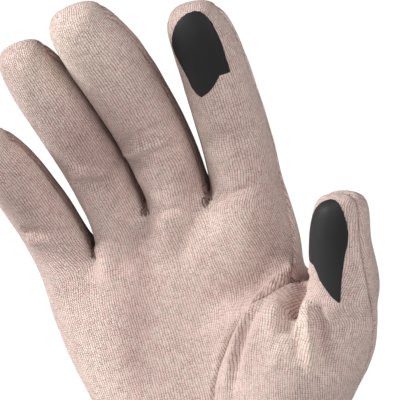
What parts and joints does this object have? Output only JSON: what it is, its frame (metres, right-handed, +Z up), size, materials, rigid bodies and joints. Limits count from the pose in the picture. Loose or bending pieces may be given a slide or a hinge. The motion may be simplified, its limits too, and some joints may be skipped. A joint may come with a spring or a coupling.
{
  "type": "wool glove",
  "caption": "Right-hand knitted wool glove, shaped as worn with curved fingers, with smooth black touch patches on the index fingertip and thumb tip.",
  "frame": {"origin": "middle of the open wrist edge, where the hand goes in", "axes": "+X to the thumb side, -Y to the palm side, +Z up the hand to the fingertips"},
  "size_m": [0.1163, 0.0654, 0.2247],
  "materials": {
    "wool": "matte fine jersey knit, dusty pink beige",
    "wool_side": "matte fine jersey knit, dusty pink beige, a little fuzzier",
    "touch_patch": "smooth satin black coating"
  },
  "bodies": {
    "root": {"palm_panel": "wool", "back_panel": "wool", "thumb_panel": "wool", "fourchette_index_middle": "wool_side", "fourchette_middle_ring": "wool_side", "fourchette_ring_little": "wool_side", "index_touch_patch": "touch_patch", "thumb_touch_patch": "touch_patch"}
  },
  "joints": []
}
